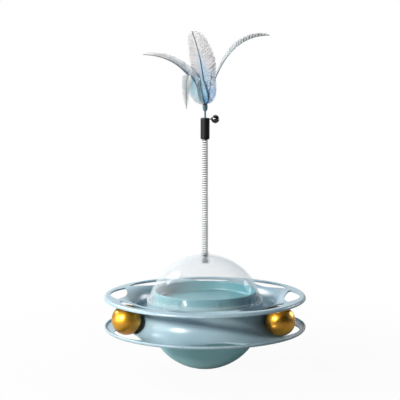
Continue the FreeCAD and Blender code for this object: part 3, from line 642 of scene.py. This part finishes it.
def plume_tree():
    """A tapered shaft, and on both sides of it the barbs, each a curved and narrowing hair."""
    build = Build("plume")
    places, ruffle = build.ask("Barb places", "Int"), build.ask("Ruffle")
    breadth, seed = build.ask("Barb breadth"), build.ask("Seed", "Int")
    lopsided = build.ask("Lopsided")
    vane, quill = build.ask("Vane finish", "Material"), build.ask("Shaft finish", "Material")

    line = build.add("GeometryNodeMeshToCurve", {}, {0: build.base})
    section = build.add("GeometryNodeCurvePrimitiveCircle", {}, {"Resolution": 8, "Radius": 1.0})
    shaft = build.add("GeometryNodeCurveToMesh", {}, {
        0: line, 1: section, "Scale": build.named("thick"), "Fill Caps": True})
    parts = [build.dressed(shaft, quill)]

    hair = build.add("GeometryNodeCurveQuadraticBezier", {}, {
        "Resolution": 5, "Start": (0, 0, 0), "Middle": (0.5, 0.14, 0), "End": (1, 0.5, 0)})
    hair = build.add("GeometryNodeSetCurveNormal", {"mode": "Z_UP"}, {0: hair})
    share = build.add("GeometryNodeSplineParameter")
    hair = build.keep(hair, "out", share)
    ribbon = build.add("GeometryNodeCurvePrimitiveCircle", {}, {"Resolution": 4, "Radius": breadth})
    ribbon = build.add("GeometryNodeTransform", {}, {0: ribbon, "Scale": (1, 0.3, 1)})
    hair = build.add("GeometryNodeCurveToMesh", {}, {
        0: hair, 1: ribbon, "Scale": 1 - share * 0.6, "Fill Caps": True})

    roots = build.add("GeometryNodeResampleCurve", {}, {0: line, "Count": places})
    reach = build.named("reach")
    growing = build.maths("GREATER_THAN", reach, SHORTEST_BARB)
    for side in (-1, 1):
        across = build.add("ShaderNodeVectorMath", {"operation": "MULTIPLY_ADD"}, {
            0: build.named("across", "FLOAT_VECTOR"), 1: (side, side, side),
            2: build.named("lift", "FLOAT_VECTOR")})
        lie = build.add("FunctionNodeAxesToRotation", {"primary_axis": "Y", "secondary_axis": "X"},
                        {0: build.named("way", "FLOAT_VECTOR"), 1: across})
        wild = build.add("FunctionNodeRandomValue", {"data_type": "FLOAT_VECTOR"}, {
            0: (-1, -1, -1), 1: (1, 1, 1), 8: seed + side * 7})
        sway = build.add("ShaderNodeVectorMath", {"operation": "SCALE"}, {
            0: wild, "Scale": ruffle})
        turn = build.add("FunctionNodeEulerToRotation", {}, {0: sway})
        lie = build.add("FunctionNodeRotateRotation", {"rotation_space": "LOCAL"}, {
            0: lie, 1: turn})
        length = build.chance(0.86, 1.04, seed + side * 3) * (lopsided * side + 1) * reach
        hairs = build.add("GeometryNodeInstanceOnPoints", {}, {
            0: roots, "Selection": growing, "Instance": build.keep(hair, "web", (side + 1) / 2),
            "Rotation": lie, "Scale": build.vector(length, length, length)})
        parts.append(build.dressed(hairs, vane))
    return build.close(*parts)


SHAFT_STEPS, BLUNT_ENDS = 72, 0.45


def shaft_line(name, foot, mouth, plan, path):
    """The shaft as points that carry the lie and the reach of their barbs."""
    first, second, tip = path
    # The barbs reach furthest at the plan's fullest place, where share ** rise is a half
    rise = math.log(0.5) / math.log(plan["fullest"])
    spots, ways, acrosses, lifts, reaches = [foot], [Vector((0, 0, 1))], [], [], [0.0]
    thicks, alongs = [], [0.0]
    for step in range(SHAFT_STEPS + 1):
        place = step / SHAFT_STEPS
        rest = 1 - place
        spots.append(mouth * rest ** 3 + first * (3 * rest ** 2 * place)
                     + second * (3 * rest * place ** 2) + tip * place ** 3)
        way = ((first - mouth) * rest ** 2 + (second - first) * (2 * rest * place)
               + (tip - second) * place ** 2)
        ways.append(way.normalized())
        share = max((place - plan["bare"]) / (1 - plan["bare"]), 0)
        spread = math.sin(math.pi * share ** rise) ** BLUNT_ENDS if 0 < share < 1 else 0
        reaches.append(plan["widest"] / 2000 * spread)
        alongs.append(place)
    # The plume turns from its first facing to its last over five eighths of its shaft
    low_face, high_face = plan["facing"]
    for index, way in enumerate(ways):
        place = max(index - 1, 0) / SHAFT_STEPS
        face = math.radians(low_face + (high_face - low_face) * min(1, 1.6 * place))
        across = Vector((math.cos(face), math.sin(face), 0))
        level = (across - way * across.dot(way)).normalized()
        acrosses.append(Matrix.Rotation(math.radians(plan["roll"]), 3, way) @ level)
        lifts.append(acrosses[-1].cross(way) * math.tan(math.radians(plan["fold"])))
        spots[index] += across * (2 * reaches[index] * plan["shift"])
        thicks.append(plan["shaft"] / 1000 * (1 - 0.5 * place))
    mesh = bpy.data.meshes.new(name + "_line")
    mesh.from_pydata(spots, [(spot, spot + 1) for spot in range(len(spots) - 1)], [])
    for title, values in (("way", ways), ("across", acrosses), ("lift", lifts)):
        layer = mesh.attributes.new(title, "FLOAT_VECTOR", "POINT")
        layer.data.foreach_set("vector", [part for value in values for part in value])
    for title, values in (("reach", reaches), ("thick", thicks), ("along", alongs)):
        layer = mesh.attributes.new(title, "FLOAT", "POINT")
        layer.data.foreach_set("value", values)
    return mesh


# Paths start at the cup's mouth: two points that pull the shaft, then its tip. They, the widest
# places and the shafts are in millimetres, and facing, roll and fold are in degrees.
ALIKE = {"shaft": 0.6, "facing": (0, 0), "shift": 0.0, "roll": 0, "fold": 0, "lopsided": 0.0,
         "fullest": 0.33, "pattern": "plain"}
plumes = {
    "feather_right_arch": {
        "path": ((10, 8, 26.75), (24, 12, 84.75), (79, 12, 84.75)), "bare": 0.3, "widest": 11.5,
        "shaft": 0.8, "facing": (70, 88), "roll": 25, "fold": -20, "fullest": 0.6, "lopsided": 0.3,
        "pattern": "barred",
        "colours": (paint(148, 160, 166), paint(156, 168, 174), paint(150, 156, 158))},
    "feather_upright": {
        "path": ((2, 14, 28.75), (-3, 20, 62.75), (-16, 20, 89.25)), "bare": 0.2, "widest": 31,
        "shaft": 1.0, "shift": -0.07, "lopsided": 0.16,
        "colours": (paint(120, 170, 205), paint(194, 196, 201), paint(200, 202, 205))},
    "feather_left_arch": {
        "path": ((-10, 7, 26.75), (-29, 10, 59.75), (-76, 10, 61.15)), "bare": 0.14, "widest": 13.5,
        "shaft": 0.8, "facing": (15, 84), "roll": -25, "fold": 20, "fullest": 0.4, "lopsided": 0.45,
        "colours": (paint(96, 142, 162), paint(168, 178, 186), paint(186, 190, 192))},
    "feather_left_back": {
        "path": ((-5, -1, 12.75), (-12, -4, 23.75), (-13, -5, 34.75)), "bare": 0.0, "widest": 16,
        "lopsided": -0.4,
        "colours": (paint(184, 198, 206), paint(166, 196, 210), paint(96, 140, 160))},
    "feather_left_curl": {
        "path": ((-12, -12, 32.75), (-26, -32, 68.75), (-22.5, -26, -2.25)), "bare": 0.46,
        "widest": 12.5,
        "colours": (paint(110, 138, 150), paint(176, 184, 188), paint(150, 158, 162))},
    "feather_left_front": {
        "path": ((-2, -10, 8.75), (-6, -13, 22.75), (-6, -14, 34.75)), "bare": 0.06, "widest": 12,
        # Its left web is painted pale, as painted light against the curled plume's shadow
        "pattern": "pale on one side",
        "colours": (paint(84, 150, 190), paint(130, 185, 218), paint(170, 205, 225))},
    "feather_right_front": {
        "path": ((5, -7, 8.75), (6, -11, 26.75), (8, -13, 39.75)), "bare": 0.06, "widest": 17,
        "fold": -6, "pattern": "pearled",
        "colours": (paint(110, 164, 218), paint(104, 152, 200), paint(110, 142, 172))},
}
QUILL_SEAT, QUILL_CIRCLE = 0.0025, 0.0016
# Barbs stand at even places on both sides of the shaft, but for its bare quill. Ruffle is the most
# that one strays, in radians, and breadth is a share of its own length.
BARB_PLACES, RUFFLE, BARB_BREADTH, FIRST_SEED = 560, 0.035, 0.03, 11
cup_low, cup_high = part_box("quill_binding")
plume = plume_tree()
for index, (node, wanted) in enumerate(plumes.items()):
    plan = ALIKE | wanted
    path = [Vector(spot) / 1000 + Vector((0, 0, cup_high.z)) for spot in plan["path"]]
    angle = 2 * math.pi * index / len(plumes)
    x, y = QUILL_CIRCLE * math.cos(angle), QUILL_CIRCLE * math.sin(angle)
    mouth, foot = Vector((x, y, cup_high.z)), Vector((x, y, cup_low.z + QUILL_SEAT))
    feather = grown(node + "_plume", plume, shaft_line(node, foot, mouth, plan, path), **{
        "Barb places": BARB_PLACES, "Ruffle": RUFFLE, "Barb breadth": BARB_BREADTH,
        "Seed": FIRST_SEED + index, "Lopsided": plan["lopsided"],
        "Vane finish": plume_finish(node + "_vane", plan["colours"], plan["pattern"]),
        "Shaft finish": shaft_finish(node + "_shaft", paint(40, 58, 72))})
    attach(feather, "wand_head")
    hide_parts(node)


# Studio. A white floor that runs to the horizon in a dim, cool room. A warm key lamp stands at the
# left front, wide white panels at the left and at the back give the gloss its shapes, and two
# smaller lamps stand behind.

def camera_rays(maker):
    """1 for what the camera sees, also through the clear dome, and 0 for what lights the toy."""
    rays = maker.add("ShaderNodeLightPath").socket.node.outputs
    straight, through = rays["Is Camera Ray"], rays["Is Transmission Ray"]
    return maker.maths("MAXIMUM", Value(maker, straight), Value(maker, through))


FLOOR_REACH, SHADE_REACH, WHITE_FROM = 40.0, 0.14, 0.6


def floor_finish():
    """White to the camera, with a little of the toy's shadow near it, and grey to the lamps."""
    finish = Finish("studio_floor")
    seen = camera_rays(finish)
    x, y = finish.axes()[:2]
    distance = finish.maths("SQRT", x * x + y * y)
    away = finish.between(distance, SHADE_REACH, WHITE_FROM)
    paper = finish.add("ShaderNodeBsdfDiffuse", {}, {"Color": (0.4, 0.4, 0.4, 1)})
    glow = finish.add("ShaderNodeEmission", {}, {"Color": (1, 1, 1, 1), "Strength": 1.0})
    shader = finish.add("ShaderNodeMixShader", {}, {
        0: seen * (0.95 + away * 0.05), 1: paper, 2: glow})
    finish.add("ShaderNodeOutputMaterial", {}, {"Surface": shader})
    return finish.material


floor_corners = [(x * FLOOR_REACH, y * FLOOR_REACH, 0)
                 for x, y in ((-1, -1), (1, -1), (1, 1), (-1, 1))]
floor_mesh = bpy.data.meshes.new("studio_floor")
floor_mesh.from_pydata(floor_corners, [], [(0, 1, 2, 3)])
floor_mesh.materials.append(floor_finish())
put(floor_mesh, "studio_floor")

# The room looks white, but lights the toy dimly
ROOM_LIGHT = (0.035, 0.068, 0.092, 1)
world = bpy.data.worlds.new("studio_room")
bpy.context.scene.world = world
world.use_nodes = True
room = NodeMaker(world.node_tree)
room_colour = room.mix(camera_rays(room), ROOM_LIGHT, (1, 1, 1, 1))
walls = room.add("ShaderNodeBackground", {}, {"Color": room_colour, "Strength": 1.0})
room.add("ShaderNodeOutputWorld", {}, {"Surface": walls})

LAMP_AIM = Vector((0, 0, 0.12))


def softbox(name, spot, size, power, tint=(1, 1, 1)):
    """A square lamp of a width in metres and a power in watts, which faces the toy's middle."""
    lamp = bpy.data.lights.new(name, "AREA")
    lamp.shape, lamp.size, lamp.energy, lamp.color = "SQUARE", size, power, tint
    holder = put(lamp, name)
    holder.location = spot
    holder.rotation_euler = (LAMP_AIM - Vector(spot)).to_track_quat("-Z", "Y").to_euler()


softbox("key_softbox", (-1.66, -1.74, 1.08), 0.36, 116, (1, 0.93, 0.87))
softbox("left_panel", (-2.4, -0.5, 0.7), 1.5, 26)
softbox("back_panel", (0.3, 3.0, 0.55), 3.2, 34)
softbox("back_softbox", (-1.5, 1.0, 1.5), 0.8, 56)
softbox("right_softbox", (1.7, 1.1, 0.8), 0.5, 16)

# Camera: 2.5 m from the sphere's middle, 11.6 degrees above it, with a long lens that is turned so
# that the middle falls on its place in the picture
MIDDLE, DISTANCE, RISE = Vector((0, 0, 0.07065)), 2.5, math.radians(11.6)
FOCAL_PIXELS, FRAME_PIXELS = 2009.0, 400
MIDDLE_PIXEL = (205.1, 311.4)
view = bpy.data.cameras.new("view")
view.sensor_width = 36
view.lens = FOCAL_PIXELS * view.sensor_width / FRAME_PIXELS
tilt_up = math.atan((MIDDLE_PIXEL[1] - FRAME_PIXELS / 2) / FOCAL_PIXELS)
turn_left = math.atan((MIDDLE_PIXEL[0] - FRAME_PIXELS / 2) / FOCAL_PIXELS)
camera = put(view, "view")
camera.location = MIDDLE + DISTANCE * Vector((0, -math.cos(RISE), math.sin(RISE)))
camera.rotation_euler = (math.pi / 2 - RISE + tilt_up, 0, turn_left)
bpy.context.scene.camera = camera
bpy.context.scene.view_settings.view_transform = "Standard"
